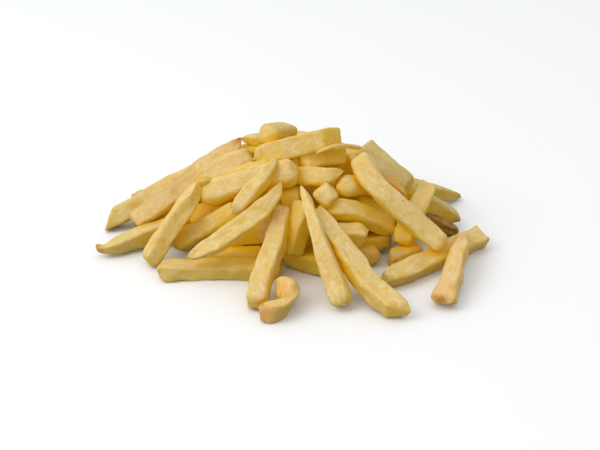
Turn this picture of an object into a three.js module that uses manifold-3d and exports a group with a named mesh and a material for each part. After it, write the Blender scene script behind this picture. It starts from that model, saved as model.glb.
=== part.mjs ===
// A portion of thick-cut french fries, tipped out in a loose heap on a flat surface.
// Millimetres, +Z up. +X runs along the heap's long side and -Y is its front.
// The origin is the middle of the heap's footprint, on the surface it lies on.
// The whole heap is one fused solid: a low core, and every fry that shows, at its true size.

import * as THREE from 'three';
import { mergeVertices } from 'three/addons/utils/BufferGeometryUtils.js';
import Module from 'manifold-3d';

const wasm = await Module();
wasm.setup();

// Driving dimensions.
const EDGE_CUT = 0.22;         // share of half a side that each long edge is cut back
const STATION = 9;             // spacing of the cross-sections along a fry
const CORE = { x: -2, y: 10, rx: 46, ry: 36, height: 33 };
const CURL_HEIGHT = 11;      // the curled offcut in front, as it lies
const CURL_THICK = 6.5;

// The front of the heap is set out on a sheet of small squares. The sheet stands across
// the middle of the heap, tipped back, and each spot is seen through it from EYE.
const SQUARE = 0.48;           // side of a square of the sheet
const SHEET = { x: 4.3, y: 0, z: 2.8, across: 300, down: 225 };
const TIP_BACK = THREE.MathUtils.degToRad(30);
const EYE_DISTANCE = 560;
const EYE = new THREE.Vector3(
  SHEET.x,
  SHEET.y - EYE_DISTANCE * Math.cos(TIP_BACK),
  SHEET.z + EYE_DISTANCE * Math.sin(TIP_BACK),
);

// The spot that lies behind a square of the sheet at a given height above the surface.
function spot(across, down, height) {
  const right = (across - SHEET.across) * SQUARE;
  const up = (SHEET.down - down) * SQUARE;
  const onSheet = new THREE.Vector3(
    SHEET.x + right,
    SHEET.y + up * Math.sin(TIP_BACK),
    SHEET.z + up * Math.cos(TIP_BACK),
  );
  const reach = (EYE.z - height) / (EYE.z - onSheet.z);
  return EYE.clone().lerp(onSheet, reach);
}

// Ends of a fry. run: how far the taper reaches, tip: share of the side left at the very end,
// side: the side that is cut away (+1 or -1 across the fry, 0 for both sides alike).
const point = (run, tip, side = 0) => ({ run, tip, side });

// Each row is one fry: its two ends, each across, down and height, its width and thickness,
// and what sets it apart. bow bends it sideways and sag bends it up or down at its middle.
// slant is how far its first end is cut askew, one side reaching out and the other held back.
const LOW = [
  [[240, 215, 12], [300, 200, 18], 9, 9],
  [[300, 192, 25], [352, 207, 16], 9, 9],
  [[225, 195, 23], [262, 235, 11], 9, 9],
  [[335, 205, 21], [300, 240, 7], 9, 9],
  [[262, 190, 26], [300, 228, 15], 9, 9],
  [[283, 253, 4.3], [333, 267, 4.3], 9, 8.6],
  [[203, 258, 5], [264, 256.5, 5], 9, 8.8],
  [[184, 219, 12], [243, 202, 22], 8.8, 8.6],
  [[222, 237, 12], [283, 229, 15], 9, 9],
  [[390, 238, 6], [350, 245, 7], 8.6, 8],
  [[379, 255, 4.8], [345, 254, 6], 9, 9],
];

const LEFT = [
  [[136, 199, 4.2], [218, 186, 26], 9, 8],
  [[160, 219, 9], [205, 188, 26], 7, 7],
  [[110, 219, 4.6], [208, 168, 32], 9.6, 8.8, { slant: 4.4 }],
  [[96, 248, 4.8], [190, 222, 12], 8.8, 8.6, { bow: -2.5, from: point(10, 0.6) }],
  [[134, 221, 10], [239, 140, 46.5], 9.6, 8.4, { to: point(18, 0.2, 1) }],
  [[251, 158, 41], [199, 182, 31], 9.6, 8.6],
  [[175, 244.5, 4.6], [240, 208, 24], 9.2, 9.2],
  [[149, 263, 3.9], [198, 183, 35], 8.6, 8.4, { to: point(24, 0.2, -1) }],
];

const MIDDLE = [
  [[290, 205, 28], [292, 178, 31], 9, 8.5],
  [[352, 199, 24], [397, 224, 10], 8, 8],
  [[317, 211, 24], [393, 228, 12], 9.6, 8, { sag: 4, from: point(18, 0.4) }],
  [[366, 235.5, 17], [332, 236, 18], 9.2, 9],
  [[289, 253.5, 9.6], [305, 202, 31], 9.6, 9],
  [[338.5, 187.5, 35], [378, 184, 27], 9.8, 9.8],
  [[325, 197, 34], [331, 189, 26], 9, 9],
  [[342.5, 171, 41], [296, 176, 36], 8.8, 8, { from: point(12, 0.2, -1) }],
  [[264, 238, 16], [276, 214, 24], 8, 7],
  [[203, 196, 26], [297, 171.5, 42], 11, 10.5],
  [[211, 181, 34], [190, 190, 29], 6, 5],
  [[224, 175, 36.6], [268, 164, 42.6], 6, 3],
  [[189, 259, 12], [280, 184, 38.4], 9, 7.6, { bow: -2.5, from: point(20, 0.3, 1), to: point(24, 0.2, -1) }],
  [[234, 214, 32], [275.6, 158, 48.8], 7, 6.6, { from: point(10, 0.5, -1), to: point(22, 0.2, 1) }],
];

const TOP = [
  [[238, 152, 39], [290, 153, 41], 8, 7],
  [[242.5, 139, 44], [270, 141, 45.4], 6, 5, { from: point(12, 0.2) }],
  [[348, 154, 35], [376, 190, 24], 9, 9],
  [[342.5, 154.5, 39], [300, 160.5, 42], 10, 9.8],
  [[325, 149.4, 49], [361, 148, 43], 4, 2.6],
  [[265, 136.4, 50.2], [291, 133, 43], 10.2, 10],
  [[255, 156.5, 43], [334, 139.5, 51], 9.8, 9.6, { from: point(14, 0.5) }],
];

const RIGHT = [
  [[458.5, 196, 3], [390, 183, 15.5], 8.8, 8.6, { from: point(26, 0.2, -1) }],
  [[457, 231.5, 3.8], [405, 213, 13], 8, 7.4, { from: point(12, 0.5) }],
  [[457, 219.5, 4.8], [389, 183, 28], 9.4, 9.2, { from: point(20, 0.2, -1) }],
  [[363.8, 147.8, 38.2], [409, 187, 26.5], 10.4, 8.4],
  [[390.5, 261, 4.2], [425, 244, 4.2], 8.8, 8.2],
  [[383.5, 280.5, 4.2], [482, 236, 4.6], 9.6, 9, { bow: -1.5, from: point(10, 0.7) }],
  [[428, 185, 23.4], [400.5, 243, 10.4], 9.6, 8.4],
  [[359, 156.5, 44.4], [443.5, 245, 12], 10, 8.4, { bow: -2 }],
];

const FRONT = [
  [[160.5, 270, 4.2], [281, 267, 4.2], 9.9, 8],
  [[284.5, 207, 28], [256, 305, 4.3], 9, 9],
  [[302, 187, 39], [341.5, 305, 4.4], 9.4, 8.6, { from: point(34, 0.15, -1) }],
  [[317, 209, 29.6], [401.5, 312.5, 4.4], 10.4, 8.8, { bow: -3, from: point(20, 0.3, 1) }],
  [[465, 234.5, 11.6], [441.6, 303, 4.4], 9.8, 8.8, { from: point(16, 0.4, -1) }],
];

// The back of the heap, given directly as x, y and height of both ends.
const BACK = [
  [[-20, 64, 4.4], [27, 55, 4.4], 9, 9],
  [[-54, 37, 4.4], [-29, 57, 4.4], 9.5, 9],
  [[36, 58, 4.4], [60, 28, 4.4], 9, 9],
  [[-50, 30, 10], [6, 46, 7], 9, 9],
  [[1, 50, 12], [53, 32, 7], 9, 8.5, { bow: 2 }],
  [[-64, 30, 4.8], [-27, 33, 19], 9, 8.5],
  [[20, 20, 30], [58, 24, 7], 9.5, 9],
  [[-30, 22, 25], [26, 29, 22], 9, 9],
  [[-5, 15, 39], [-25, 60, 8], 9.5, 9, { bow: -2 }],
  [[15, 13, 38], [19, 57, 11], 9, 9],
  [[34, 13, 28], [47, 42, 8], 9, 9],
  [[-20, 14, 35], [-46, 48, 6], 9.5, 9, { to: point(14, 0.4, 1) }],
  [[-42, 13, 21], [-74, 21, 4.6], 9, 9],
  [[-27, 22, 29], [12, 18, 34], 9, 9],
  [[-9, 35, 31], [35, 30, 23], 9.5, 9, { bow: 2.5, to: point(12, 0.4) }],
  [[-43, 28, 16], [-7, 36, 31], 9, 8.5],
];

// Cross-section of a fry, two units wide and two thick, with its long edges cut off.
function fryOutline() {
  const flat = 1 - 2 * EDGE_CUT;
  const outline = new THREE.Shape();
  outline.moveTo(1, -flat);
  outline.lineTo(1, flat);
  outline.lineTo(flat, 1);
  outline.lineTo(-flat, 1);
  outline.lineTo(-1, flat);
  outline.lineTo(-1, -flat);
  outline.lineTo(-flat, -1);
  outline.lineTo(flat, -1);
  outline.closePath();
  return outline;
}

// Share of the full side that is left at a distance from a tapered end.
function taper(end, distance) {
  if (!end || distance >= end.run) return 1;
  return end.tip + (1 - end.tip) * Math.pow(distance / end.run, 0.8);
}

// One fry between two spots. Its broad faces stay as level as its slope lets them.
function fryGeometry(start, finish, width, thickness, { bow = 0, sag = 0, slant = 0, from, to } = {}) {
  const length = start.distanceTo(finish);
  const steps = Math.max(2, Math.round(length / STATION));
  const geometry = new THREE.ExtrudeGeometry(fryOutline(), { depth: 1, steps, bevelEnabled: false });
  const along = finish.clone().sub(start).normalize();
  const across = new THREE.Vector3(0, 0, 1).cross(along).normalize();
  const upward = along.clone().cross(across);
  const corners = geometry.attributes.position;
  for (let i = 0; i < corners.count; i += 1) {
    const share = corners.getZ(i);
    const bend = 4 * share * (1 - share);
    let halfWidth = width / 2;
    let halfThickness = thickness / 2;
    let middle = bow * bend;
    for (const [end, distance] of [[from, share * length], [to, (1 - share) * length]]) {
      const left = taper(end, distance);
      if (end && end.side !== 0) middle -= end.side * halfWidth * (1 - left);
      if (end && end.side === 0) halfThickness *= left;
      halfWidth *= left;
    }
    const place = start.clone().lerp(finish, share);
    if (share === 0) place.addScaledVector(along, slant * corners.getX(i));
    place.addScaledVector(across, middle + corners.getX(i) * halfWidth);
    place.addScaledVector(upward, sag * bend + corners.getY(i) * halfThickness);
    corners.setXYZ(i, place.x, place.y, place.z);
  }
  return geometry;
}

// The curled offcut: a flat C on the surface, open to the left, at the foot of a front fry.
function curlGeometry() {
  const line = new THREE.CatmullRomCurve3([
    new THREE.Vector3(-11.7, -78.5, 0),
    new THREE.Vector3(-7.9, -76.6, 0),
    new THREE.Vector3(-4, -73.5, 0),
    new THREE.Vector3(-0.6, -69.2, 0),
    new THREE.Vector3(0.4, -64.6, 0),
    new THREE.Vector3(-1.5, -61, 0),
    new THREE.Vector3(-5.5, -60.5, 0),
  ]);
  const half = CURL_THICK / 2;
  const outline = new THREE.Shape();
  outline.moveTo(0, -half);
  outline.lineTo(-CURL_HEIGHT + 1.5, -half);
  outline.lineTo(-CURL_HEIGHT, -half + 1.5);
  outline.lineTo(-CURL_HEIGHT, half - 1.5);
  outline.lineTo(-CURL_HEIGHT + 1.5, half);
  outline.lineTo(0, half);
  outline.closePath();
  return new THREE.ExtrudeGeometry(outline, { steps: 9, bevelEnabled: false, extrudePath: line });
}

function coreGeometry() {
  const geometry = new THREE.SphereGeometry(1, 26, 16);
  geometry.rotateX(Math.PI / 2);
  geometry.scale(CORE.rx, CORE.ry, CORE.height);
  geometry.translate(CORE.x, CORE.y, 0);
  return geometry;
}

// The slab under the surface, which cuts every piece off level at the floor.
function floorGeometry() {
  const slab = new THREE.BoxGeometry(400, 400, 60);
  slab.translate(0, 0, -30);
  return slab;
}

function solid(geometry) {
  const bare = geometry.clone();
  bare.deleteAttribute('normal');
  bare.deleteAttribute('uv');
  const merged = mergeVertices(bare, 1e-4);
  const corners = new Float32Array(merged.attributes.position.array);
  const faces = new Uint32Array(merged.index.array);
  return new wasm.Manifold(new wasm.Mesh({ numProp: 3, vertProperties: corners, triVerts: faces }));
}

// The biggest closed surface of a solid: hollows sealed inside it and loose crumbs drop out.
function outerBody(whole) {
  let biggest = null;
  for (const piece of whole.decompose()) {
    if (biggest === null || piece.volume() > biggest.volume()) biggest = piece;
  }
  return biggest;
}

function meshOf(body, name, material) {
  const { vertProperties, triVerts } = body.getMesh();
  const geometry = new THREE.BufferGeometry();
  geometry.setAttribute('position', new THREE.BufferAttribute(vertProperties, 3));
  geometry.setIndex(new THREE.BufferAttribute(triVerts, 1));
  geometry.computeVertexNormals();
  const mesh = new THREE.Mesh(geometry, material);
  mesh.name = name;
  return mesh;
}

let heap = solid(coreGeometry());
for (const [start, finish, ...size] of [...LOW, ...LEFT, ...MIDDLE, ...TOP, ...RIGHT, ...FRONT]) {
  heap = heap.add(solid(fryGeometry(spot(...start), spot(...finish), ...size)));
}
for (const [start, finish, ...size] of BACK) {
  heap = heap.add(solid(fryGeometry(new THREE.Vector3(...start), new THREE.Vector3(...finish), ...size)));
}
heap = heap.add(solid(curlGeometry()));
heap = outerBody(heap.subtract(solid(floorGeometry())));

const fried = new THREE.MeshStandardMaterial({ color: 0xe6c66e, roughness: 0.55, metalness: 0 });
const group = new THREE.Group();
group.add(meshOf(heap, 'fries', fried));

export default group;
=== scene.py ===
import math
import random

import bmesh
import bpy
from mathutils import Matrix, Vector, noise
from mathutils.bvhtree import BVHTree


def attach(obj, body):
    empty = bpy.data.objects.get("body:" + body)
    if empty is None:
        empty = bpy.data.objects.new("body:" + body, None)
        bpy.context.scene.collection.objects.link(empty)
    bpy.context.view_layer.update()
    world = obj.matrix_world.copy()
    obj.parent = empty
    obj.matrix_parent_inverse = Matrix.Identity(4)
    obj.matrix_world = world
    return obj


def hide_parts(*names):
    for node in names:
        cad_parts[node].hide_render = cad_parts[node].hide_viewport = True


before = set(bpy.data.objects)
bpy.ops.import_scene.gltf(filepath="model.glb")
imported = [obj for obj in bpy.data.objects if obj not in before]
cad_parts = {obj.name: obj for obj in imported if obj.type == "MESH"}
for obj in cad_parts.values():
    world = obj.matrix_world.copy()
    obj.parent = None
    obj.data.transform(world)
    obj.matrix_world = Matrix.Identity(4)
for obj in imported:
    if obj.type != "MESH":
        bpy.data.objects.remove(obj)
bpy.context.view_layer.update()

LUMP_SEED = 4                        # without it the lumps would change from run to run
noise.seed_set(LUMP_SEED)

MM = 0.001
SURFACE = 0.05                       # mm, how far above the floor the lowest points end

# ------------------------ camera

SQUARE = 0.48                        # mm, side of a square of the sighting sheet
SHEET = Vector((4.3, 0.0, 2.8))      # mm, the sheet's middle
SHEET_ACROSS = 300                   # the square in the sheet's middle
SHEET_DOWN = 225
TIP_BACK = math.radians(30)
EYE_DISTANCE = 560                   # mm
EYE = SHEET + EYE_DISTANCE * Vector((0, -math.cos(TIP_BACK), math.sin(TIP_BACK)))
LENS = 70
SENSOR_WIDTH = 36


def make_camera():
    data = bpy.data.cameras.new("camera")
    data.lens = LENS
    data.sensor_width = SENSOR_WIDTH
    data.sensor_fit = "HORIZONTAL"
    data.clip_start = 0.01
    data.clip_end = 20
    camera = bpy.data.objects.new("camera", data)
    camera.location = EYE * MM
    camera.rotation_mode = "QUATERNION"
    camera.rotation_quaternion = (SHEET - EYE).to_track_quat("-Z", "Y")
    bpy.context.scene.collection.objects.link(camera)
    bpy.context.scene.camera = camera


def spot(across, down, height):
    """The spot behind a square of the sighting sheet, at a height above the surface, in mm."""
    right = (across - SHEET_ACROSS) * SQUARE
    up = (SHEET_DOWN - down) * SQUARE
    on_sheet = SHEET + Vector((right, up * math.sin(TIP_BACK), up * math.cos(TIP_BACK)))
    reach = (EYE.z - height) / (EYE.z - on_sheet.z)
    return EYE.lerp(on_sheet, reach)


# ------------------------ where the fries lie

# Each fry: its kind, its line from end to end, and what sets it apart.
# A line's stops are (across, down, height, width, thickness).
# roll and twist turn it about its line, in degrees. start and finish set how its two ends are
# cut: mm that its far side and its upper side are held back. puff is how far the middle of an end
# stands out, dome over how many mm an end is rounded off, soft the rounding of the long edges.
# dent is how deep its faces have sunk and rough how uneven it is. tone runs from pale 0 to
# golden 1; rosy, olive and toast tint it, and crust browns its edges. brown, ripe and blush add
# toast, tone and rosy to its two ends.
FRONT = [
    # The long level one at the left foot.
    ("golden", [
        (160.5, 270.3, 4, 9.8, 7.8), (204, 268.6, 3.8, 9.8, 7.3), (240, 267.9, 3.8, 10, 7.3),
        (281, 267, 3.8, 9.8, 7.5),
    ], dict(start=(2.2, -1.2), dent=0.4, tone=0.35, olive=0.2, rough=1.9, roll=4, twist=6)),
    # The broad one that comes down to the curl.
    ("pale", [
        (284.5, 207, 28, 8, 8), (281, 220, 24.4, 8.4, 8.4), (275.7, 240, 19.5, 8.6, 8.4),
        (269.5, 260, 14.4, 8.8, 8.6), (261.5, 282, 8.8, 9, 9), (256, 305.5, 4.3, 9.4, 9),
    ], dict(roll=-2, twist=0, finish=(0, 0.4), dome=(0, 3.2), puff=1.4, tone=0.22, rosy=0.25, dent=0.25)),
    # The inner one of the pair that runs down from the middle.
    ("pale", [
        (302, 187, 39, 1.5, 1.6), (305, 194, 37.6, 3, 3.4), (308.6, 206, 34.8, 4.4, 4.6),
        (314, 221, 30.4, 5.4, 5.4), (318, 234, 26.6, 6.2, 6.2), (323.8, 251.6, 20.6, 7.8, 7.4),
        (329.5, 267, 15.6, 8.6, 8.2), (335.5, 283.5, 10.2, 9.4, 9), (341.5, 305.5, 3.4, 9.6, 8),
    ], dict(roll=34, twist=-4, finish=(-0.6, -1.0), dome=(0, 3.4), puff=0.8, tone=0.2, dent=0.2)),
    # The outer one of the pair, its foot cut askew.
    ("pale", [
        (317, 209, 29.6, 4, 5), (326, 223, 26, 7.4, 7.4), (337.5, 240, 21.4, 9.2, 8.6),
        (355, 264.5, 14.4, 10.2, 9), (373, 288.5, 8.4, 10.4, 9), (401.5, 312.5, 4.4, 10.8, 8.8),
    ], dict(roll=5, twist=-6, finish=(-3.6, -0.6), dome=(0, 2.6), puff=0.9, soft=1.9, tone=0.15, dent=0.5,
            rough=1.4, ripe=(0.5, 0.6))),
    # The rosy one at the far right, with a toasted foot.
    ("blushed", [
        (464, 234.5, 10.9, 2.6, 4), (461.8, 246, 10.2, 6.6, 6.4), (456.6, 260, 9, 8, 7.4),
        (453, 275, 7.6, 8.8, 7.8), (448, 288, 5.2, 10, 7.2), (441.6, 303, 3.2, 12, 5.8),
    ], dict(roll=12, twist=-4, dent=0.3, tone=0.2, rosy=0.4, finish=(0, -2.4), dome=(1, 1.4), soft=1.9,
            puff=1.0, rough=1.5, brown=(0.5, 0.2), crust=1.8)),
]

LEFT = [
    # The greenish one behind the long ones.
    ("greenish", [(136, 199, 4.2, 8, 8), (218, 186, 26, 9, 8)], dict(olive=0.9, tone=0.2, dome=(3, 0))),
    # One under them, which hardly shows.
    ("golden", [(160, 219, 9, 7, 7), (205, 188, 26, 7, 7)], dict(tone=0.8)),
    # The long one whose foot is cut askew.
    ("pale", [
        (110, 219, 4.6, 9.6, 8.8), (150, 198.5, 13, 9.8, 8.8), (180, 182, 23, 9.2, 8.4),
        (208, 168, 32, 9, 8),
    ], dict(start=(4.4, -1), puff=0.2, dome=(0.4, 1), roll=54, twist=0, tone=0.2, olive=0.3, dent=0.2)),
    # The one with the thin, curved and browned tip.
    ("pale", [
        (95.5, 247.4, 4.8, 4, 3), (102, 249.6, 4.2, 4, 3.6), (112.5, 248, 4.4, 6.4, 6),
        (130, 241, 5.4, 8, 8), (152, 232.5, 7.6, 8.4, 8.4), (190, 222, 12, 8.6, 8.6),
    ], dict(tone=0.35, olive=0.45, dent=0.4, brown=(0.35, 0), crust=1.8)),
    # The longest, up the slope to a browned point.
    ("blushed", [
        (134, 221, 10, 8.6, 7.6), (152, 210.5, 15, 9.4, 8.2), (170, 197.5, 21, 9.6, 8.4),
        (188, 182.5, 27.4, 9.4, 8.2), (205, 168, 34, 9.2, 8), (220, 158, 39.4, 9, 7.8),
        (230, 150.5, 43, 8, 7), (236, 144.5, 45.2, 5.6, 5.4), (239.5, 138.5, 46.8, 1.8, 2.6),
    ], dict(tone=0.1, rosy=0.12, roll=52, twist=0, crust=2.6, dent=0.35, start=(-1.0, 0),
            brown=(0, 0.5))),
    # The broad one high on the slope.
    ("pale", [
        (199, 182, 31, 8.4, 8), (227, 167.5, 37.4, 9.4, 8.6), (251.5, 157.5, 41, 10, 9),
    ], dict(tone=0.1, roll=50, twist=0, dent=0.15, finish=(0.6, -0.6))),
    # The short one low on the slope.
    ("golden", [
        (175, 244.5, 4.6, 8.8, 9), (206, 228.5, 12.4, 9.2, 9.4), (240, 208, 24, 9, 9),
    ], dict(tone=0.5, roll=52, twist=0, start=(0.6, -0.8), dent=0.1, soft=2.2)),
    # The steep one at the left foot.
    ("pale", [
        (149, 263, 2.7, 8, 7.8), (163, 240, 11.4, 8.6, 8.4), (180, 214.5, 22, 8.6, 8.4),
        (190, 199, 28, 7.4, 7.4), (196, 187, 32, 4, 4.6), (198, 182.5, 33.4, 1.6, 2),
    ], dict(roll=-24, start=(0, 1.0), tone=0.3, dent=0.2)),
]

MIDDLE = [
    # The dark end behind the pair's points.
    ("golden", [
        (290, 205, 28, 9, 8.5), (292, 178, 31, 8.5, 8.5),
    ], dict(tone=0.75, start=(0, 2.2), puff=0.3)),
    # One in the shade on the right.
    ("golden", [(352, 199, 24, 8, 8), (397, 224, 10, 8, 8)], dict(tone=0.8, dome=(4, 0))),
    # The one that comes out to the right, in the shade.
    ("golden", [
        (317, 212, 24, 3, 3), (328, 211, 25.4, 7, 6), (340, 210, 26, 9.4, 8), (356, 212.5, 23.6, 9.8, 8),
        (376, 220.5, 17.6, 9.6, 7.8), (393, 228, 12, 9, 7.4),
    ], dict(roll=28, twist=0, tone=0.5, dent=0.2, dome=(0, 2))),
    # The end under it.
    ("golden", [
        (332, 236, 18, 9, 8.8), (366, 235.5, 17, 9.2, 9),
    ], dict(roll=8, twist=0, tone=0.4, dome=(0, 3))),
    # The one between the pair and the broad one.
    ("golden", [
        (289, 253.5, 9.6, 10.2, 9.4), (305, 202, 31, 9.4, 9),
    ], dict(tone=0.4, roll=-10, twist=0, start=(0, -0.5), dent=0.15)),
    # The round, blunt end.
    ("golden", [
        (338.5, 187.5, 35, 9.8, 9.8), (378, 184, 27, 9.8, 9.8),
    ], dict(tone=0.15, dome=(4.6, 0), puff=1.8, soft=3.4, roll=50, twist=0)),
    # The small square end.
    ("pale", [
        (325, 197, 34, 9.2, 8.8), (331, 189, 26, 9, 8.8),
    ], dict(tone=0.3, roll=42, twist=0, start=(1.6, 0), puff=0.4)),
    # The one under the top that narrows to the right.
    ("golden", [
        (296, 176, 36, 8.6, 8), (322, 176.5, 38.6, 8.8, 8.2), (333, 173.8, 40, 6, 6.4),
        (342.5, 170.6, 41, 1.4, 1.6),
    ], dict(roll=58, twist=0, tone=0.35, rosy=0.2, dent=0.35)),
    # A thin one between the pointed ones.
    ("golden", [(264, 238, 16, 8, 7), (276, 214, 24, 8, 7)], dict(tone=0.35)),
    # The large one across the middle.
    ("golden", [
        (203, 196, 26, 10.4, 9.8), (240, 185, 33.4, 11, 10.4), (270, 176.5, 38, 11.4, 11),
        (297, 171.5, 42, 11.4, 11),
    ], dict(tone=0.12, roll=50, dent=0.1, dome=(0, 4), start=(0, -1.5), twist=0, soft=2.8)),
    # A toasted edge over its left end.
    ("golden", [(211, 181, 34, 6, 5), (190, 190, 29, 6, 5)], dict(tone=0.8, toast=0.3)),
    # A thin edge that lies along it.
    ("pale", [
        (224, 175.4, 36.6, 3, 1.6), (245, 169.5, 40.2, 6, 2.6), (268, 164, 42.6, 6, 2.6),
    ], dict(tone=0.4, rosy=0.3)),
    # The longer pointed one, from the lower left.
    ("pale", [
        (189, 258.5, 12, 1.8, 2.6), (194, 255.6, 13.4, 4, 4.6), (207, 248.4, 16.6, 7.2, 6.6),
        (220, 240.6, 20, 8.8, 7.4), (240, 226.8, 25.6, 9.2, 7.6), (260, 210.5, 31, 8.8, 7.4),
        (273, 196, 35.4, 6.6, 6.4), (280, 184, 38.4, 1.8, 3),
    ], dict(tone=0.22, roll=38, twist=0, dent=0.3, brown=(0.4, 0))),
    # The pointed one above it.
    ("pale", [
        (234, 214, 31, 3.6, 4), (238, 208.6, 32.4, 5.6, 5.6), (248, 196, 36.6, 6.6, 6.4),
        (261, 181, 41.8, 6.6, 6.2), (270, 168.5, 45.2, 4.8, 5), (275.6, 158, 47.4, 1.4, 2),
    ], dict(tone=0.25, roll=22, twist=0, dent=0.2, brown=(0.3, 0))),
]

TOP = [
    # One under the large one, on the left.
    ("greenish", [(238, 152, 39, 7, 6), (290, 153, 41, 8, 7)], dict(tone=0.5, olive=0.7)),
    # The thin pointed end on the left.
    ("pale", [
        (242.5, 139, 44, 1.6, 1.6), (249, 138.8, 45, 4.6, 4), (258, 139.5, 45.4, 6.4, 5),
        (270, 141, 45.4, 6.4, 5),
    ], dict(tone=0.3, olive=0.3, brown=(0.6, 0))),
    # One in the shade behind the right slope.
    ("golden", [(348, 154, 35, 9, 9), (376, 190, 24, 9, 9)], dict(tone=0.8, dome=(2, 0))),
    # The one in the shade under the large one.
    ("golden", [
        (342.5, 154.5, 39, 10.6, 10.2), (300, 160.5, 42, 10, 9.8),
    ], dict(tone=0.5, roll=-54, twist=0, start=(1.0, 0), dome=(0.8, 2), dent=0.2)),
    # The thin crisp sliver.
    ("crisp", [
        (317, 152, 49.4, 1.4, 1.0), (328, 148.6, 49.8, 2.2, 1.4), (338, 146, 48.4, 3.4, 2.0),
        (349, 146, 46, 4.4, 2.4), (361, 148, 43, 3, 1.6),
    ], dict(tone=0.1, rosy=0.15, dome=(0, 0), puff=0)),
    # The short one on the very top.
    ("pale", [
        (265, 136.4, 50.2, 10.2, 10), (291, 133, 43, 10, 10),
    ], dict(tone=0.5, olive=0.7, dent=0.1, roll=4, twist=0, start=(0, 0), finish=(0, 1.0), rough=0.5,
            soft=2.6, puff=1.2, dome=(3, 3))),
    # The large one under it.
    ("pale", [
        (255, 156.5, 43, 6, 6), (266, 153.8, 44.2, 9, 8.6), (285, 150.5, 46, 9.8, 9.4),
        (310, 144, 48.6, 9.9, 9.6), (334, 138.5, 51, 10.2, 10),
    ], dict(tone=0.15, dent=0.2, roll=64, twist=0, finish=(-0.6, 4.2), puff=0.2, dome=(2, 0.8),
            ripe=(0.1, 0.6))),
]

RIGHT = [
    # The upper green-grey point.
    ("greenish", [
        (459.5, 196.2, 1.5, 1.6, 2.4), (453, 195.4, 3.2, 4, 4.6), (444, 193.6, 6, 6.6, 6.4),
        (425, 190, 11.6, 8.2, 7.6), (398, 184, 18, 9, 8),
    ], dict(olive=0.5, tone=0.6, brown=(0.7, 0))),
    # The dark one with skin on it.
    ("skin", [
        (457.5, 231.6, 3.4, 4, 4.6), (447, 228.4, 4.6, 6, 6.4), (405, 213, 13, 8, 7.4),
    ], dict(tone=0.5, toast=1.0, rough=1.8)),
    # The lower green-grey point.
    ("greenish", [
        (458.5, 220.5, 4.4, 2.4, 3), (452, 216.4, 6, 6.6, 6.8), (439.5, 210.8, 9, 9, 8.8),
        (389, 183, 28, 9.5, 9.2),
    ], dict(olive=0.7, tone=0.4, brown=(0.5, 0))),
    # The toasted one, of which a strip shows.
    ("toasted", [(385, 179.5, 32, 5, 4), (405, 194, 26.5, 4, 3.6)], dict(tone=0.9, toast=0.35, rosy=1.0)),
    # The greenish one down the right slope.
    ("greenish", [
        (363.8, 147.8, 38.2, 10.4, 8.4), (388, 168, 32.5, 10.6, 8.4), (409, 187, 26.5, 10.4, 8.4),
    ], dict(roll=42, twist=0, olive=0.35, tone=0.1, dent=0.15, puff=1.6, dome=(1.5, 3), crust=1.6)),
    # The short one in the lower right.
    ("greenish", [
        (390.5, 261, 4.2, 7.4, 7.6), (402, 256, 4.2, 8.8, 8.2), (417, 247.5, 4.2, 8.8, 8.2),
    ], dict(olive=0.3, tone=0.3, toast=0.05, dome=(2.4, 1))),
    # The level one at the far right.
    ("pale", [
        (383, 281, 4.0, 6.2, 6.6), (402, 274, 4.4, 9, 8.6), (430, 261, 4.6, 9.6, 9),
        (456, 248.2, 4.6, 9.6, 9), (482, 236, 4.6, 9.8, 9),
    ], dict(tone=0.28, dent=0.3, olive=0.25, roll=22, twist=0, start=(-0.8, 1.6), dome=(2.4, 2),
            finish=(0.4, 0.6), rough=1.3)),
    # The stubby one across the points.
    ("golden", [
        (428, 184.5, 23.4, 6.4, 6.4), (424.5, 193, 21.4, 9, 7.8), (415, 214, 16.4, 9.4, 8.4),
        (400.5, 243, 10.4, 10.4, 9),
    ], dict(tone=0.42, roll=-16, twist=0, dome=(0, 4), dent=0.15)),
    # The large pale one that comes down over them.
    ("pale", [
        (359, 156.5, 44.4, 9.4, 8.4), (366, 172, 40.2, 10, 8.4), (377, 186.5, 35.6, 10, 8.4),
        (393, 202, 29.6, 10, 8.4), (407, 215, 24.2, 10, 8.4), (429.5, 234, 16.2, 10.2, 8.4),
        (443.5, 245, 12, 9.8, 8.2),
    ], dict(tone=0.22, twist=0, roll=43, dent=0.2, rosy=0.1, start=(0, 0), dome=(4.4, 1.6), puff=1.5,
            soft=1.8)),
]

# What shows in the gaps between the others.
LOW = [
    ("golden", [(240, 215, 12, 9, 9), (300, 200, 18, 9, 9)], dict(tone=0.9)),
    ("golden", [(300, 192, 25, 9, 9), (352, 207, 16, 9, 9)], dict(tone=0.9)),
    ("golden", [(225, 195, 23, 9, 9), (262, 235, 11, 9, 9)], dict(tone=0.9)),
    ("golden", [(335, 205, 21, 9, 9), (300, 240, 7, 9, 9)], dict(tone=0.9)),
    ("golden", [(262, 190, 26, 9, 9), (300, 228, 15, 9, 9)], dict(tone=0.9)),
    ("golden", [(283, 253, 4.3, 9, 8.6), (333, 267, 4.3, 9, 8.6)], dict(tone=0.5)),
    ("golden", [(203, 258, 5, 9, 8.8), (264, 256.5, 5, 9, 8.8)], dict(tone=0.55, roll=0)),
    ("golden", [(184, 219, 12, 8.8, 8.6), (243, 202, 22, 8.8, 8.6)], dict(tone=0.4, roll=40)),
    ("golden", [(222, 237, 12, 9, 9), (283, 229, 15, 9, 9)], dict(tone=0.8)),
    ("golden", [
        (390, 238, 6, 6, 6.6), (378, 240.6, 6.4, 8.6, 8), (350, 245, 7, 8, 7.4),
    ], dict(tone=0.45)),
    ("toasted", [
        (379, 255, 4.8, 9, 9), (345, 254, 6, 9, 9),
    ], dict(tone=0.5, toast=0.12, rosy=0.9, dome=(4, 0), soft=2.6)),
]

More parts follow.
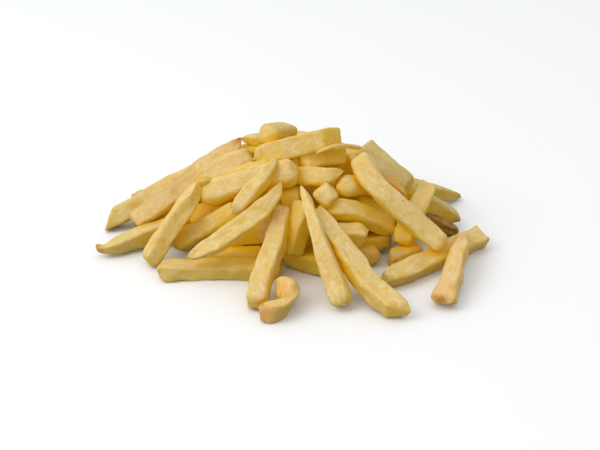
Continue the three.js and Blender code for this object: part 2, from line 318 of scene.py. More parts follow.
# The curled offcut in front, lying on the surface as a C with its far arm leaning back.
CURL = [
    ("curl", [
        (264.5, 314.6, 4.9, 6, 9.8), (272.5, 311.8, 4.9, 6, 9.8), (281.5, 307.4, 5, 5.8, 10),
        (287.6, 301.4, 5.3, 5.6, 10.6), (289.4, 295, 5.8, 5.2, 11.4), (284.4, 289.8, 6.2, 5.8, 11.8),
        (275.6, 289.4, 6.2, 6, 11.4),
    ], dict(tone=0.2, toast=0.02, rosy=0.1, dent=0.3, rough=1.4, roll=25, twist=66, start=(-2.4, 0.2),
            finish=(0, 0), puff=0.2, dome=(0.9, 3.5), soft=1.7, blush=(0.2, 0.2), crust=1.2)),
]

# The back of the heap: each line's stops are x, y and height, then width and thickness.
BACK = [
    ("golden", [(-20, 64, 4.4, 9, 9), (27, 55, 4.4, 9, 9)], dict(tone=0.5)),
    ("pale", [(-54, 37, 4.4, 9.5, 9), (-29, 57, 4.4, 9.5, 9)], dict(tone=0.35, start=(2, 0))),
    ("pale", [(36, 58, 4.4, 9, 9), (60, 28, 4.4, 9, 9)], dict(tone=0.3)),
    ("golden", [(-50, 30, 10, 9, 9), (6, 46, 7, 9, 9)], dict(tone=0.7)),
    ("pale", [(1, 50, 12, 9, 8.5), (27, 43, 9.5, 9, 8.5), (53, 32, 7, 9, 8.5)], dict(tone=0.4)),
    ("greenish", [(-64, 30, 4.8, 9, 8.5), (-27, 33, 19, 9, 8.5)], dict(tone=0.3, olive=0.3)),
    ("golden", [(20, 20, 30, 9.5, 9), (58, 24, 7, 9.5, 9)], dict(tone=0.5)),
    ("golden", [(-30, 22, 25, 9, 9), (26, 29, 22, 9, 9)], dict(tone=0.8)),
    ("pale", [
        (-5, 15, 39, 9.5, 9), (-16, 37, 23.6, 9.5, 9), (-25, 60, 8, 9.5, 9),
    ], dict(tone=0.3, finish=(2.5, 0))),
    ("pale", [(15, 13, 38, 9, 9), (19, 57, 11, 9, 9)], dict(tone=0.45)),
    ("golden", [(34, 13, 28, 9, 9), (47, 42, 8, 9, 9)], dict(tone=0.5)),
    ("pale", [
        (-20, 14, 35, 9.5, 9), (-36, 36, 17, 9.4, 9), (-46, 48, 6, 3, 4),
    ], dict(tone=0.35, rosy=0.4)),
    ("golden", [(-42, 13, 21, 9, 9), (-74, 21, 4.6, 9, 9)], dict(tone=0.6)),
    ("golden", [(-27, 22, 29, 9, 9), (12, 18, 34, 9, 9)], dict(tone=0.5)),
    ("pale", [(-9, 35, 31, 9.5, 9), (14, 34.6, 28, 9.5, 9), (35, 30, 23, 3.6, 6)], dict(tone=0.35)),
    ("golden", [(-43, 28, 16, 9, 8.5), (-7, 36, 31, 9, 8.5)], dict(tone=0.65)),
]

# The core of the heap: its middle, its half sizes and its height, in mm.
CORE = dict(x=-2, y=10, rx=45, ry=35, height=31)
CORE_LUMPS = ((0.07, 0.09), (0.03, 0.3))   # how large its lumps are, and their waves in each mm

# Rings of inner fries on the core: how high up each ring lies (0 to 1) and how many it has.
INNER_RINGS = [(0.18, 9), (0.46, 8), (0.72, 6), (0.94, 4)]
INNER_FROM = -25                     # degrees round the core, counted from +X
INNER_SWEEP = 230
INNER_SLANT = 0.8                    # most that one slants out of its ring, in radians
INNER_HALF = (11, 16)                # mm, half their length
INNER_OUT = (0.5, 3)                 # mm that they stand off the core
INNER_WIDTH = (8.2, 9.4)             # mm
INNER_FLAT = 0.4                     # mm that they are thinner than wide
INNER_LOWEST = 4.6                   # mm, the lowest that an end may lie

# ------------------------ the form of one fry

# What a fry has where its row doesn't say. The rest of its looks is drawn by chance.
USUAL_LOOKS = dict(soft=1.5, rough=1.15, dent=0.25, puff=0.9, tone=0.5, rosy=0.0, olive=0.0, toast=0.0,
                   crust=1.0, brown=(0, 0), ripe=(0, 0), blush=(0, 0))
CHANCE_ROLL = 4                      # degrees
CHANCE_TWIST = 9
CHANCE_BEND = 0.9                    # mm sideways at the middle of a fry with only two stops
CHANCE_SKEW = 0.09                   # how far its cross-section leans
CHANCE_THIN = 0.07                   # share that it narrows towards one end
CHANCE_SIDE_CUT = 1.4                # mm that an end is cut askew, across and from top to bottom
CHANCE_TOP_CUT = 1.2
CHANCE_DOME = (1.4, 2.6)             # mm

STEP = 2.2                           # mm between the cross-sections: in front, at the back, inside
BACK_STEP = 2.4
INNER_STEP = 3.0
SOFT_SHARE = 0.36                    # most of a side that the rounding of an edge may take
SOFT_SEGMENTS = 3
FACE_CUTS = 3                        # cuts across each long face
SHORTEST_CUT = 0.5                   # mm, an edge shorter than this isn't cut again

LINE_STEP = 0.01                     # share of the line over which its direction is taken
STEEPEST = 0.05                      # below this a line counts as upright
CUT_RUN = 2.6                        # an askew end dies out over this many times its depth,
CUT_RUN_LEAST = 3                    # and these mm
PUFF_EDGE = 0.4                      # share of the puff that lies behind the end's own line
DOME_SHRINK = 0.14                   # share of the side that each mm of dome takes at the very end
DOME_MOST = 3.5                      # mm of dome past which it takes no more
SWELL = 0.08                         # share that its width and thickness vary
SWELL_ALONG = 0.055                  # waves of it in each mm along, and from face to face
SWELL_AROUND = 0.4
DENT_ALONG = 0.07                    # waves of the sunken faces in each mm along
DENT_DEPTH = (0.6, 0.8)              # the even and the uneven share of their depth
FACE_PICK = 0.6                      # rounds a place round the fry to the face that it is on
FACE_APART = 3.3                     # keeps one face's dents unlike the next one's
DENT_RIM = 0.7                       # from where on towards a face its dent counts
WANDER_ALONG = 0.03                  # waves in each mm of its wander to the side and up
WANDER_SIDE = 0.5                    # mm
WANDER_UP = 0.4
LUMPS = ((0.55, 0.15), (0.34, 0.40)) # mm of its lumps, and their waves in each mm

RIDGE = (0.72, 0.98)                 # where a long edge starts and is full, in half sides
RIM = (1.4, 0.2)                     # mm from an end where its rim starts and is full
RIM_AROUND = (0.7, 0.98)
BROWN_RUN = (5, 0)                   # mm from an end where brown starts and is full
RIPE_RUN = (9, 1)                    # and ripe and blush
CUT_SPACE = 0.65                     # how much the cut potato's pattern is drawn out lengthwise

TINTS = ("tone", "rosy", "olive", "toast", "edge")


def as_object(bm, name):
    """The bmesh as an object of its own, in the scene."""
    mesh = bpy.data.meshes.new(name)
    bm.to_mesh(mesh)
    bm.free()
    made = bpy.data.objects.new(name, mesh)
    bpy.context.scene.collection.objects.link(made)
    return made


def tint_layers(bm):
    """The values that every point carries for the material, and its place in the cut potato."""
    tints = {tint: bm.verts.layers.float.new(tint) for tint in TINTS}
    return tints, bm.verts.layers.float_vector.new("cut")


def smooth_step(low, high, value):
    t = min(max((value - low) / (high - low), 0.0), 1.0)
    return t * t * (3 - 2 * t)


def curve_through(stops, share):
    """The smooth in-between value of a list of (place, Vector) stops."""
    last = len(stops) - 1
    index = 0
    while index < last - 1 and share > stops[index + 1][0]:
        index += 1
    low, high = stops[index], stops[index + 1]
    before = stops[max(index - 1, 0)]
    after = stops[min(index + 2, last)]
    span = high[0] - low[0]
    t = (share - low[0]) / span
    slope_low = (high[1] - before[1]) / (high[0] - before[0]) * span
    slope_high = (after[1] - low[1]) / (after[0] - low[0]) * span
    return ((2 * t**3 - 3 * t**2 + 1) * low[1] + (t**3 - 2 * t**2 + t) * slope_low
            + (3 * t**2 - 2 * t**3) * high[1] + (t**3 - t**2) * slope_high)


def straight_stick(length, width, thickness, soft, step):
    """A straight bar along X with rounded edges, cut into a fine even grid, in mm."""
    bm = bmesh.new()
    bmesh.ops.create_cube(bm, size=1.0)
    bmesh.ops.scale(bm, vec=(length, width, thickness), verts=bm.verts)
    bmesh.ops.bevel(bm, geom=bm.edges[:], offset=soft, segments=SOFT_SEGMENTS, profile=0.5,
                    affect="EDGES", material=-1)
    rounding = 2.2 * soft
    lengthwise = max(3, round(length / step))
    for axis, size, cuts in ((0, length, lengthwise), (1, width, FACE_CUTS), (2, thickness, FACE_CUTS)):
        wide = [e for e in bm.edges
                if abs(e.verts[0].co[axis] - e.verts[1].co[axis]) > size - rounding
                and e.calc_length() > SHORTEST_CUT]
        if wide:
            bmesh.ops.subdivide_edges(bm, edges=wide, cuts=cuts, use_grid_fill=True)
    return bm


def full_looks(looks, seed, two_stops):
    """All of a fry's looks: those of its row, the usual ones and those drawn by chance."""
    chance = random.Random(seed)
    drawn = {}
    drawn["roll"] = chance.uniform(-CHANCE_ROLL, CHANCE_ROLL)
    drawn["twist"] = chance.uniform(-CHANCE_TWIST, CHANCE_TWIST)
    drawn["bend"] = chance.uniform(-CHANCE_BEND, CHANCE_BEND) if two_stops else 0.0
    drawn["skew"] = chance.uniform(-CHANCE_SKEW, CHANCE_SKEW)
    drawn["thin"] = chance.uniform(-CHANCE_THIN, CHANCE_THIN)
    for end in ("start", "finish"):
        side = chance.uniform(-CHANCE_SIDE_CUT, CHANCE_SIDE_CUT)
        drawn[end] = (side, chance.uniform(-CHANCE_TOP_CUT, CHANCE_TOP_CUT))
    drawn["dome"] = (chance.uniform(*CHANCE_DOME), chance.uniform(*CHANCE_DOME))
    return {**USUAL_LOOKS, **drawn, **looks}


class Form:
    """The form of one fry. A point of it has a place along its line, in mm from its start, and
    two places round it: u from -1 to 1 across and w from -1 to 1 from its lower to its upper face."""

    def __init__(self, line, looks, seed):
        points = [Vector(stop[:3]) for stop in line]
        sides = [Vector(stop[3:]) for stop in line]
        reach = [0.0]
        for a, b in zip(points, points[1:]):
            reach.append(reach[-1] + (b - a).length)
        shares = [r / reach[-1] for r in reach]
        self.length = reach[-1]
        self.spine = list(zip(shares, points))
        self.sizes = list(zip(shares, sides))
        self.width = max(side.x for side in sides)
        self.thickness = max(side.y for side in sides)
        self.looks = full_looks(looks, seed, len(line) == 2)
        self.soft = min(self.looks["soft"], SOFT_SHARE * self.width, SOFT_SHARE * self.thickness)
        self.shift = Vector((seed * 17.31, seed * 5.77, seed * 9.13))

    def cut_back(self, place, u, w):
        """The place of a point along the line once the two ends are cut askew and puffed."""
        looks = self.looks
        for end, way, (side, top) in zip((place, self.length - place), (1, -1),
                                         (looks["start"], looks["finish"])):
            held = side * u + top * w + looks["puff"] * (max(abs(u), abs(w)) ** 2 - PUFF_EDGE)
            reach = CUT_RUN * abs(held) + CUT_RUN_LEAST
            place += way * held * max(0.0, 1 - end / reach)
        return place

    def directions(self, share):
        """The middle of the cross-section at a share of the line, its side way and its top way."""
        inside = min(max(share, 0.0), 1.0)
        near = curve_through(self.spine, max(inside - LINE_STEP, 0.0))
        far = curve_through(self.spine, min(inside + LINE_STEP, 1.0))
        along = (far - near).normalized()
        middle = curve_through(self.spine, inside) + along * (share - inside) * self.length
        across = Vector((0, 0, 1)).cross(along)
        across = across.normalized() if across.length > STEEPEST else Vector((1, 0, 0))
        upward = along.cross(across)
        turn = math.radians(self.looks["roll"]) + math.radians(self.looks["twist"]) * (share - 0.5)
        side_way = across * math.cos(turn) + upward * math.sin(turn)
        top_way = upward * math.cos(turn) - across * math.sin(turn)
        return middle, side_way, top_way

    def rounded_off(self, place):
        """The share of its sides that a fry keeps near its two rounded ends."""
        kept_here = 1.0
        for end, dome in zip((place, self.length - place), self.looks["dome"]):
            if dome and end < dome:
                kept = 1 - DOME_SHRINK * min(dome, DOME_MOST)
                kept_here *= kept + (1 - kept) * math.sqrt(max(0.0, 1 - (1 - max(end, 0) / dome) ** 2))
        return kept_here

    def half_sides(self, place, u, w):
        """Half the width and half the thickness at a point, with their uneven swelling."""
        inside = min(max(place / self.length, 0.0), 1.0)
        size = curve_through(self.sizes, inside)
        kept = self.rounded_off(place)
        vary = SWELL * self.looks["rough"]
        local = Vector((place * SWELL_ALONG, u * SWELL_AROUND, w * SWELL_AROUND)) + self.shift
        wide = 1 + vary * noise.noise(local) + self.looks["thin"] * (inside - 0.5)
        thick = 1 + vary * noise.noise(local + Vector((40, 0, 0)))
        return size.x / 2 * kept * wide, size.y / 2 * kept * thick

    def sunken(self, place, u, w):
        """How deep the faces have sunk in at a point, in mm."""
        side_face = FACE_APART * round(u * FACE_PICK)
        top_face = FACE_APART * round(w * FACE_PICK)
        even, uneven = DENT_DEPTH
        vary = noise.noise(Vector((place * DENT_ALONG, side_face, top_face)) + self.shift)
        return max(0.0, self.looks["dent"] * (even + uneven * vary))

    def lay(self, place, u, w, half_width, half_thick):
        """Where a point of the fry lies in the heap, in mm."""
        rough = self.looks["rough"]
        share = place / self.length
        inside = min(max(share, 0.0), 1.0)
        middle, side_way, top_way = self.directions(share)
        sunk = self.sunken(place, u, w)
        y = u * half_width - math.copysign(sunk, u) * (1 - min(1, w * w)) * smooth_step(DENT_RIM, 1, abs(u))
        z = w * half_thick - math.copysign(sunk, w) * (1 - min(1, u * u)) * smooth_step(DENT_RIM, 1, abs(w))
        y += self.looks["skew"] * z + self.looks["bend"] * 4 * inside * (1 - inside)
        body = middle + side_way * y + top_way * z
        wander = Vector((place * WANDER_ALONG, 0, 0)) + self.shift
        body += (side_way * WANDER_SIDE * rough * noise.noise(wander)
                 + top_way * WANDER_UP * rough * noise.noise(wander + Vector((0, 30, 0))))
        for size, waves in LUMPS:
            body += size * rough * noise.noise_vector(body * waves + self.shift)
        body.z = max(body.z, SURFACE)
        return body

    def at_ends(self, amounts, run, place):
        """What a pair of amounts, one for each end, comes to at a place along the line."""
        return (amounts[0] * smooth_step(*run, place)
                + amounts[1] * smooth_step(*run, self.length - place))

    def tints(self, place, u, w):
        """The tints of a point."""
        looks = self.looks
        ridge = smooth_step(*RIDGE, min(abs(u), abs(w)))
        tip = min(place, self.length - place)
        rim = smooth_step(*RIM, tip) * smooth_step(*RIM_AROUND, max(abs(u), abs(w)))
        return dict(tone=looks["tone"] + self.at_ends(looks["ripe"], RIPE_RUN, place),
                    rosy=looks["rosy"] + self.at_ends(looks["blush"], RIPE_RUN, place),
                    olive=looks["olive"],
                    toast=min(1.0, looks["toast"] + self.at_ends(looks["brown"], BROWN_RUN, place)),
                    edge=max(ridge, rim) * looks["crust"])


def make_fry(name, line, looks, seed, step):
    """One fry as its own mesh, laid along its line, with its tints stored on its points."""
    form = Form(line, looks, seed)
    bm = straight_stick(form.length, form.width, form.thickness, form.soft, step)
    tints, cut = tint_layers(bm)
    for v in bm.verts:
        u = v.co.y / (form.width / 2)
        w = v.co.z / (form.thickness / 2)
        place = form.cut_back(v.co.x + form.length / 2, u, w)
        half_width, half_thick = form.half_sides(place, u, w)
        v.co = form.lay(place, u, w, half_width, half_thick) * MM
        for tint, value in form.tints(place, u, w).items():
            v[tints[tint]] = value
        v[cut] = Vector((place * CUT_SPACE, u * half_width, w * half_thick)) + form.shift * 7
    for face in bm.faces:
        face.smooth = True
    return as_object(bm, name)


def joined(parts, name):
    """Several loose meshes as one piece."""
    first = parts[0]
    if len(parts) > 1:
        with bpy.context.temp_override(active_object=first, object=first,
                                       selected_objects=parts, selected_editable_objects=parts):
            bpy.ops.object.join()
    first.name = name
    first.data.name = name
    return first


# ------------------------ the heap

def inner_lines():
    """Lines of the fries inside the heap, which lie on its core at the back and at the sides."""
    draw = random.Random(21)
    lines = []
    for lift, count in INNER_RINGS:
        for k in range(count):
            turn = math.radians(INNER_FROM + INNER_SWEEP * (k + draw.uniform(0.2, 0.8)) / count)
            level = math.sqrt(1 - lift * lift)
            on_unit = Vector((level * math.cos(turn), level * math.sin(turn), lift))
            middle = Vector((CORE["x"] + CORE["rx"] * on_unit.x, CORE["y"] + CORE["ry"] * on_unit.y,
                             CORE["height"] * on_unit.z))
            outward = Vector((on_unit.x / CORE["rx"], on_unit.y / CORE["ry"], on_unit.z / CORE["height"]))
            outward.normalize()
            level_way = Vector((-math.sin(turn), math.cos(turn), 0))
            slant = draw.uniform(-INNER_SLANT, INNER_SLANT)
            along = level_way * math.cos(slant) + outward.cross(level_way) * math.sin(slant)
            half = along * draw.uniform(*INNER_HALF)
            middle += outward * draw.uniform(*INNER_OUT)
            width = draw.uniform(*INNER_WIDTH)
            lines.append([(end.x, end.y, max(end.z, INNER_LOWEST), width, width - INNER_FLAT)
                          for end in (middle - half, middle + half)])
    return lines


def lay_out():
    """All fries, by kind."""
    rows = []
    for kind, line, looks in (*FRONT, *LEFT, *MIDDLE, *TOP, *RIGHT, *LOW, *CURL):
        rows.append((kind, [(*spot(*stop[:3]), *stop[3:]) for stop in line], looks, STEP))
    rows += [(kind, line, looks, BACK_STEP) for kind, line, looks in BACK]
    rows += [("inner", line, dict(tone=0.6), INNER_STEP) for line in inner_lines()]
    kinds = {}
    for seed, (kind, line, looks, step) in enumerate(rows, start=1):
        kinds.setdefault(kind, []).append(make_fry(f"fry_{seed}", line, looks, seed, step))
    return kinds


def make_core():
    """The deep golden middle of the heap, which only shows between the fries."""
    bm = bmesh.new()
    bmesh.ops.create_icosphere(bm, subdivisions=5, radius=1.0)
    bmesh.ops.scale(bm, vec=(CORE["rx"], CORE["ry"], CORE["height"]), verts=bm.verts)
    tints, cut = tint_layers(bm)
    for v in bm.verts:
        v[cut] = v.co
        v[tints["tone"]] = 1.0
        lumps = 1 + sum(size * noise.noise(v.co * waves) for size, waves in CORE_LUMPS)
        v.co = Vector((v.co.x * lumps + CORE["x"], v.co.y * lumps + CORE["y"],
                       max(v.co.z * lumps, SURFACE))) * MM
    for face in bm.faces:
        face.smooth = True
    return as_object(bm, "heap_core")


# ------------------------ shade, baked to be painted into the colour

SHADE_RAYS = 20
SHADE_TURN = 2.39996                 # radians from one ray to the next, which spreads them evenly
SHADE_STRAY = 0.3
SHADE_REACH = 30                     # mm
SHADE_LIFT = 0.4                     # mm off the face where the rays start
FLOOR_SHARE = 0.35                   # how much a ray down to the pale floor counts as shut out


class Heap:
    """All the pieces as one body that rays can be cast at."""

    def __init__(self, pieces):
        self.pieces = pieces
        self.owners = []
        corners, faces = [], []
        for piece in pieces:
            first = len(corners)
            corners.extend(v.co.copy() for v in piece.data.vertices)
            faces.extend([first + i for i in p.vertices] for p in piece.data.polygons)
            self.owners.extend([piece] * len(piece.data.polygons))
        self.tree = BVHTree.FromPolygons(corners, faces)

    def seen_at(self, across, down):
        """The place, normal and piece first met behind a square of the sighting sheet."""
        eye = EYE * MM
        place, normal, face, _ = self.tree.ray_cast(eye, spot(across, down, 0) * MM - eye)
        return place, normal, self.owners[face]


def shade_rays():
    """Ways spread over the half of the sky above a level face, most of them steep."""
    draw = random.Random(7)
    rays = []
    for k in range(SHADE_RAYS):
        lift = math.sqrt((k + 0.5) / SHADE_RAYS)
        turn = k * SHADE_TURN + draw.random() * SHADE_STRAY
        flat = math.sqrt(1 - lift * lift)
        rays.append(Vector((flat * math.cos(turn), flat * math.sin(turn), lift)))
    return rays


def store_shade(heap):
    """Stores on every point how much of the open air above and around it the heap shuts out, and how far it
    faces down, which the material paints as shade.
    """
    rays = shade_rays()
    for piece in heap.pieces:
        shade = piece.data.attributes.new("shade", "FLOAT", "POINT")
        # How far each face turns down: the material paints golden shade on sides and undersides from it.
        painted_side_shade = piece.data.attributes.new("painted_side_shade", "FLOAT", "POINT")
        painted_side_shade.data.foreach_set("value", [0.5 - 0.5 * v.normal.z for v in piece.data.vertices])
        values = []
        for v in piece.data.vertices:
            upright = v.normal.to_track_quat("Z", "Y")
            start = v.co + v.normal * SHADE_LIFT * MM
            shut = 0
            for ray in rays:
                way = upright @ ray
                if heap.tree.ray_cast(start, way, SHADE_REACH * MM)[0] is not None:
                    shut += 1
                elif way.z < 0:
                    shut += FLOOR_SHARE
            values.append(shut / SHADE_RAYS)
        shade.data.foreach_set("value", values)


# ------------------------ stains, painted shade patches and crumbs

# Local patches: a square of the sighting sheet, how far the patch reaches in mm, which of the
# stored values it adds to and how much. Those on shade take painted shade away; the rest are stains.
TINTS_AND_SHADE_PATCHES = [
    (440.5, 301.5, 2.8, "toast", 1.4), (452, 287, 3.0, "toast", 0.45), (463, 236, 2.6, "toast", 0.35),
    (466, 250, 4, "tone", 0.5), (364, 249, 4.5, "rosy", 1.6), (310.5, 249, 4, "toast", 0.5),
    (373, 286, 4.5, "tone", 0.6), (268, 271, 4.5, "tone", 0.45), (341, 186, 4.5, "tone", 0.6),
    (402, 240, 6, "tone", 0.5), (264, 313, 5, "rosy", 1.5), (263, 315, 4, "toast", 0.2),
    (283, 311, 6, "toast", 0.35), (283, 288, 4.5, "rosy", 1.8), (287, 295, 3, "toast", 0.35),
    (296, 287, 4, "toast", 0.5), (400, 306, 6, "tone", -0.3), (331, 136, 7, "tone", 0.9),
    (264, 136, 5.5, "olive", -0.7), (98, 249, 3.5, "toast", 0.6), (110, 251, 6, "olive", 0.7),
    (126, 249, 6, "olive", 0.5), (279, 212, 7, "shade", -0.4), (264, 230, 8, "shade", -0.5),
    (405, 255, 6, "shade", -0.3), (205, 232, 9, "shade", -0.25), (238.5, 140.5, 3.4, "rosy", 1.6),
    (238.5, 138.5, 2.4, "toast", 0.5), (275, 149, 6, "tone", 0.5), (308, 148, 6, "tone", 0.5),
    (262, 160, 4.5, "tone", 0.6), (330, 262, 4, "toast", 0.2), (424, 262, 4, "tone", 0.4),
    (224, 262, 5, "tone", 0.3),
]

# Burnt specks: a square of the sighting sheet and a radius in mm.
CRUMBS = [
    (266, 192, 0.5), (204, 256.2, 0.45), (450, 234.6, 0.6), (341, 290, 0.25), (403, 201, 0.35),
    (397, 243, 0.7), (468, 238, 0.4), (239, 190, 0.3), (384, 248, 0.4),
]
PATCH_FACING = 0.2                   # a patch keeps to faces turned at least this far its way
CRUMB_UNEVEN = (0.75, 1.25)          # how much each corner of a speck is pushed in or out
CRUMB_FLAT = 0.6


def add_tints_and_shade_patches(heap):
    # Stains add to a tint; patches on shade lighten the painted shade there.
    for across, down, reach, tint, amount in TINTS_AND_SHADE_PATCHES:
        place, normal, piece = heap.seen_at(across, down)
        values = piece.data.attributes[tint].data
        for v in piece.data.vertices:
            away = (v.co - place).length / (reach * MM)
            if away < 1 and v.normal.dot(normal) > PATCH_FACING:
                values[v.index].value += amount * (1 - away * away)


def make_crumbs(heap):
    """Small burnt specks, half sunk into the fries they sit on."""
    bm = bmesh.new()
    draw = random.Random(5)
    for across, down, radius in CRUMBS:
        place, normal, _ = heap.seen_at(across, down)
        made = bmesh.ops.create_icosphere(bm, subdivisions=1, radius=radius)["verts"]
        for v in made:
            v.co *= draw.uniform(*CRUMB_UNEVEN)
            v.co.z *= CRUMB_FLAT
        bmesh.ops.transform(bm, matrix=normal.to_track_quat("Z", "Y").to_matrix().to_4x4(), verts=made)
        bmesh.ops.translate(bm, vec=place / MM, verts=made)
    bmesh.ops.scale(bm, vec=(MM, MM, MM), verts=bm.verts)
    return as_object(bm, "burnt_crumbs")


# ------------------------ materials

FLOURY = (0.85, 0.695, 0.385, 1)     # dry, mealy patches
GLASSY = (0.71, 0.47, 0.07, 1)       # patches soaked with oil
SPECKLE = (0.62, 0.42, 0.09, 1)
BLUSH = (0.84, 0.47, 0.15, 1)
OLIVE = (0.56, 0.46, 0.13, 1)
BROWNED_EDGE = (0.52, 0.33, 0.08, 1)
BROAD = 13.0                         # mm, sizes of the patches
GLASSY_PATCH = 3.8
BLOTCH = 2.1
FINE = 0.9

RELIEF = 0.0008                      # m, depth of the fine relief
SOAK = 0.42                          # share of the light that goes into the potato
SOAK_DEPTH = 0.0026                  # m that it goes in, and the shares of it by colour
SOAK_COLORS = (1.0, 0.55, 0.18)

# What each kind of fry changes in the fried surface.
KINDS = {
    "pale": {"Mottling": 0.75, "Browning": 0.45},
    "golden": {"Mottling": 0.6, "Browning": 0.45},
    "blushed": {"Pale": (0.77, 0.56, 0.255, 1), "Mottling": 0.7, "Browning": 0.5},
    "inner": {"Mottling": 0.5, "Browning": 0.45},
    "greenish": {"Pale": (0.60, 0.47, 0.2, 1), "Mottling": 0.4, "Browning": 0.6},
    "toasted": {"Golden": (0.80, 0.50, 0.09, 1), "Mottling": 0.4, "Browning": 0.7},
    "crisp": {"Mottling": 0.3, "Browning": 0.6},
    "curl": {"Pale": (0.82, 0.59, 0.19, 1), "Golden": (0.68, 0.44, 0.08, 1),
             "Mottling": 0.9, "Browning": 0.9},
    "skin": {"Toasted": (0.24, 0.12, 0.02, 1), "Mottling": 0.2, "Browning": 0.8},
}


class Wiring:
    """Small helper for laying nodes in a tree."""

    def __init__(self, tree):
        self.tree = tree

    def node(self, kind, inputs=None, **settings):
        made = self.tree.nodes.new(kind)
        for key, value in settings.items():
            setattr(made, key, value)
        for key, value in (inputs or {}).items():
            self.feed(made.inputs[key], value)
        return made

    def feed(self, target, value):
        if isinstance(value, bpy.types.NodeSocket):
            self.tree.links.new(value, target)
        else:
            target.default_value = value

    def value(self, name):
        return self.node("ShaderNodeAttribute", attribute_name=name).outputs["Fac"]

    def math(self, operation, a, b=0.0, clamp=False):
        made = self.node("ShaderNodeMath", {0: a, 1: b}, operation=operation, use_clamp=clamp)
        return made.outputs[0]

    def mix(self, share, a, b):
        made = self.node("ShaderNodeMix", data_type="RGBA", blend_type="MIX")
        self.feed(made.inputs["Factor"], share)
        self.feed(made.inputs["A"], a)
        self.feed(made.inputs["B"], b)
        return made.outputs["Result"]

    def spread(self, value, low, high, new_low=0.0, new_high=1.0):
        made = self.node("ShaderNodeMapRange", {"Value": value, "From Min": low, "From Max": high,
                                                "To Min": new_low, "To Max": new_high})
        return made.outputs["Result"]

    def cloud(self, place, size_mm, detail, roughness=0.55):
        made = self.node("ShaderNodeTexNoise", {"Vector": place, "Scale": 1.0 / size_mm, "Detail": detail,
                                                "Roughness": roughness})
        return made.outputs["Fac"]


def socket(group, name, way, kind, value=None):
    made = group.interface.new_socket(name=name, in_out=way, socket_type=kind)
    if value is not None:
        made.default_value = value


def fried_surface():
    """Group: the colour of fried potato with its painted shade, its roughness and fine relief."""
    group = bpy.data.node_groups.new("fried_surface", "ShaderNodeTree")
    socket(group, "Pale", "INPUT", "NodeSocketColor", (0.77, 0.565, 0.215, 1))
    socket(group, "Golden", "INPUT", "NodeSocketColor", (0.78, 0.53, 0.06, 1))
    # Painted shade: the saturated golden laid where the heap shuts out the light.
    socket(group, "Painted shade", "INPUT", "NodeSocketColor", (0.97, 0.63, 0.014, 1))
    socket(group, "Toasted", "INPUT", "NodeSocketColor", (0.42, 0.17, 0.02, 1))
    socket(group, "Mottling", "INPUT", "NodeSocketFloat", 0.5)
    socket(group, "Browning", "INPUT", "NodeSocketFloat", 0.3)
    socket(group, "Color", "OUTPUT", "NodeSocketColor")
    socket(group, "Roughness", "OUTPUT", "NodeSocketFloat")
    socket(group, "Height", "OUTPUT", "NodeSocketFloat")
    w = Wiring(group)
    given = w.node("NodeGroupInput").outputs
    place = w.node("ShaderNodeAttribute", attribute_name="cut").outputs["Vector"]
    broad = w.cloud(place, BROAD, 2.0)
    blotch = w.cloud(place, BLOTCH, 5.0, 0.68)
    fine = w.cloud(place, FINE, 4.0, 0.65)

    # Pale to golden: by the fry's own tone and in broad patches, plus painted shade that turns faces golden
    # underneath and where the heap shuts out the light.
    tone = w.math("ADD", w.value("tone"), w.math("MULTIPLY", w.math("SUBTRACT", broad, 0.5), 0.9))
    tone = w.math("ADD", tone, w.spread(w.value("painted_side_shade"), 0.2, 0.55, -0.1, 0.5))
    tone = w.math("ADD", tone, w.spread(w.value("shade"), 0.3, 0.7, -0.1, 0.5), clamp=True)
    color = w.mix(tone, given["Pale"], given["Golden"])

    # Mealy and oily patches and a fine speckle.
    floury = w.math("MULTIPLY", w.spread(blotch, 0.46, 0.64), w.spread(tone, 0.0, 1.0, 1.0, 0.35))
    color = w.mix(w.math("MULTIPLY", floury, given["Mottling"]), color, FLOURY)
    oily = w.spread(w.cloud(place, GLASSY_PATCH, 4.0, 0.68), 0.52, 0.64)
    color = w.mix(w.math("MULTIPLY", oily, given["Mottling"]), color, GLASSY)
    color = w.mix(w.spread(fine, 0.52, 0.75, 0.0, 0.2), color, SPECKLE)

    # The tints that the points carry, and the painted shade.
    blushing = w.math("MULTIPLY", w.value("rosy"), w.spread(broad, 0.35, 0.65, 0.2, 0.7), clamp=True)
    color = w.mix(blushing, color, BLUSH)
    color = w.mix(w.math("MULTIPLY", w.value("olive"), 0.45), color, OLIVE)
    # Painted shade: a deep saturated golden where the heap shuts out the light, standing in for light
    # glowing between the fries.
    color = w.mix(w.spread(w.value("shade"), 0.38, 0.85), color, given["Painted shade"])
    browning = w.math("MULTIPLY", given["Browning"], w.spread(broad, 0.35, 0.65, 0.3, 1.2))
    color = w.mix(w.math("MULTIPLY", w.value("edge"), browning), color, BROWNED_EDGE)
    browned = w.math("MULTIPLY", w.value("toast"), w.spread(blotch, 0.3, 0.7, 0.45, 1.15), clamp=True)
    color = w.mix(browned, color, given["Toasted"])

    relief = w.math("ADD", w.math("MULTIPLY", fine, 0.5), w.math("MULTIPLY", blotch, 0.6))
    out = w.node("NodeGroupOutput")
    w.feed(out.inputs["Color"], color)
    w.feed(out.inputs["Roughness"], w.spread(blotch, 0.35, 0.7, 0.62, 0.44))
    w.feed(out.inputs["Height"], relief)
    return group


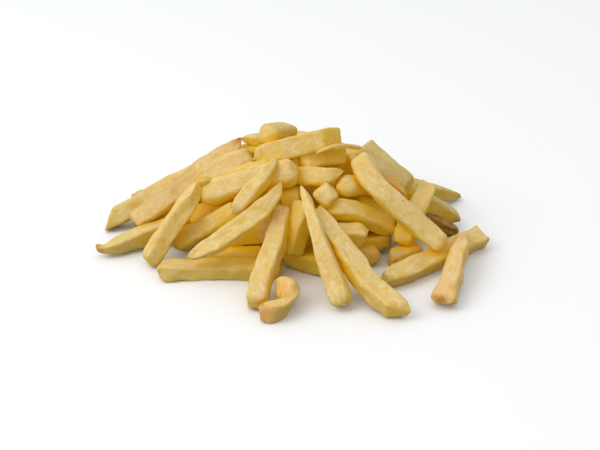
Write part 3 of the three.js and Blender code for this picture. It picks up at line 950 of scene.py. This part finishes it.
def fried_material(name, group, values):
    material = bpy.data.materials.new(name)
    material.use_nodes = True
    material.node_tree.nodes.clear()
    w = Wiring(material.node_tree)
    surface = w.node("ShaderNodeGroup", values, node_tree=group)
    bump = w.node("ShaderNodeBump", {"Strength": 0.75, "Distance": RELIEF,
                                     "Height": surface.outputs["Height"]})
    shader = w.node("ShaderNodeBsdfPrincipled", {
        "Base Color": surface.outputs["Color"], "Roughness": surface.outputs["Roughness"],
        "Normal": bump.outputs["Normal"], "IOR": 1.42, "Specular IOR Level": 0.3,
        "Subsurface Weight": SOAK, "Subsurface Scale": SOAK_DEPTH, "Subsurface Radius": SOAK_COLORS})
    out = w.node("ShaderNodeOutputMaterial")
    w.feed(out.inputs["Surface"], shader.outputs["BSDF"])
    return material


def crumb_material():
    material = bpy.data.materials.new("burnt_crumb")
    material.use_nodes = True
    shader = material.node_tree.nodes["Principled BSDF"]
    shader.inputs["Base Color"].default_value = (0.035, 0.016, 0.006, 1)
    shader.inputs["Roughness"].default_value = 0.6
    return material


# ------------------------ surroundings

FLOOR_HALF = 3.0                     # m
FLOOR_SEEN = (0.95, 0.97, 1.0, 1)    # the floor as the camera sees it
FLOOR_GIVES = (0.50, 0.50, 0.49, 1)  # and as it throws light back on the fries
LIT_SPOT = Vector((0, 0, 0.02))      # m, where the lamps point
SKY = (1.0, 0.99, 0.97, 1)
SKY_LEVEL = 0.66                     # its strength level with the floor, and overhead
SKY_OVERHEAD = 0.86
SKY_LEFT = 1.15                      # and how much stronger or weaker to the two sides
SKY_RIGHT = 0.85


def make_floor():
    bm = bmesh.new()
    bmesh.ops.create_grid(bm, x_segments=1, y_segments=1, size=FLOOR_HALF)
    floor = as_object(bm, "floor")
    material = bpy.data.materials.new("pale_floor")
    material.use_nodes = True
    material.node_tree.nodes.clear()
    w = Wiring(material.node_tree)
    seen = w.node("ShaderNodeLightPath").outputs["Is Camera Ray"]
    white = w.node("ShaderNodeBsdfDiffuse", {"Color": FLOOR_SEEN})
    dull = w.node("ShaderNodeBsdfDiffuse", {"Color": FLOOR_GIVES})
    either = w.node("ShaderNodeMixShader", {0: seen, 1: dull.outputs["BSDF"], 2: white.outputs["BSDF"]})
    out = w.node("ShaderNodeOutputMaterial")
    w.feed(out.inputs["Surface"], either.outputs["Shader"])
    floor.data.materials.append(material)


def area_light(name, place, size, power, color):
    data = bpy.data.lights.new(name, "AREA")
    data.shape = "DISK"
    data.size = size
    data.energy = power
    data.color = color
    lamp = bpy.data.objects.new(name, data)
    lamp.location = place
    lamp.rotation_mode = "QUATERNION"
    lamp.rotation_quaternion = (LIT_SPOT - Vector(place)).to_track_quat("-Z", "Y")
    bpy.context.scene.collection.objects.link(lamp)


def make_light():
    area_light("key", place=(-0.78, -0.34, 0.80), size=0.8, power=4.5, color=(1.0, 0.985, 0.96))
    area_light("top", place=(-0.2, -0.1, 1.1), size=1.0, power=0.9, color=(1.0, 1.0, 1.0))
    world = bpy.data.worlds.new("studio")
    world.use_nodes = True
    background = world.node_tree.nodes["Background"]
    background.inputs["Color"].default_value = SKY
    w = Wiring(world.node_tree)
    way = w.node("ShaderNodeTexCoord").outputs["Generated"]
    parts = w.node("ShaderNodeSeparateXYZ", {"Vector": way}).outputs
    by_height = w.spread(parts["Z"], 0.0, 1.0, SKY_LEVEL, SKY_OVERHEAD)
    by_side = w.spread(parts["X"], -1.0, 1.0, SKY_LEFT, SKY_RIGHT)
    w.feed(background.inputs["Strength"], w.math("MULTIPLY", by_height, by_side))
    bpy.context.scene.world = world
    view = bpy.context.scene.view_settings
    view.view_transform = "Standard"
    view.look = "None"


# ------------------------ all together

def finish_piece(piece, material):
    piece.data.materials.clear()
    piece.data.materials.append(material)
    smooth = piece.modifiers.new("smooth", "SUBSURF")
    smooth.levels = 1
    smooth.render_levels = 1
    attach(piece, "root")
    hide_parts("fries")


make_camera()
make_floor()
make_light()
pieces = {kind: joined(parts, f"{kind}_fries") for kind, parts in lay_out().items()}
core = make_core()
heap = Heap([*pieces.values(), core])
store_shade(heap)
add_tints_and_shade_patches(heap)
surface = fried_surface()
for kind, piece in pieces.items():
    finish_piece(piece, fried_material(f"{kind}_fries_potato", surface, KINDS[kind]))
finish_piece(core, fried_material("heap_core_potato", surface, KINDS["golden"]))
finish_piece(make_crumbs(heap), crumb_material())
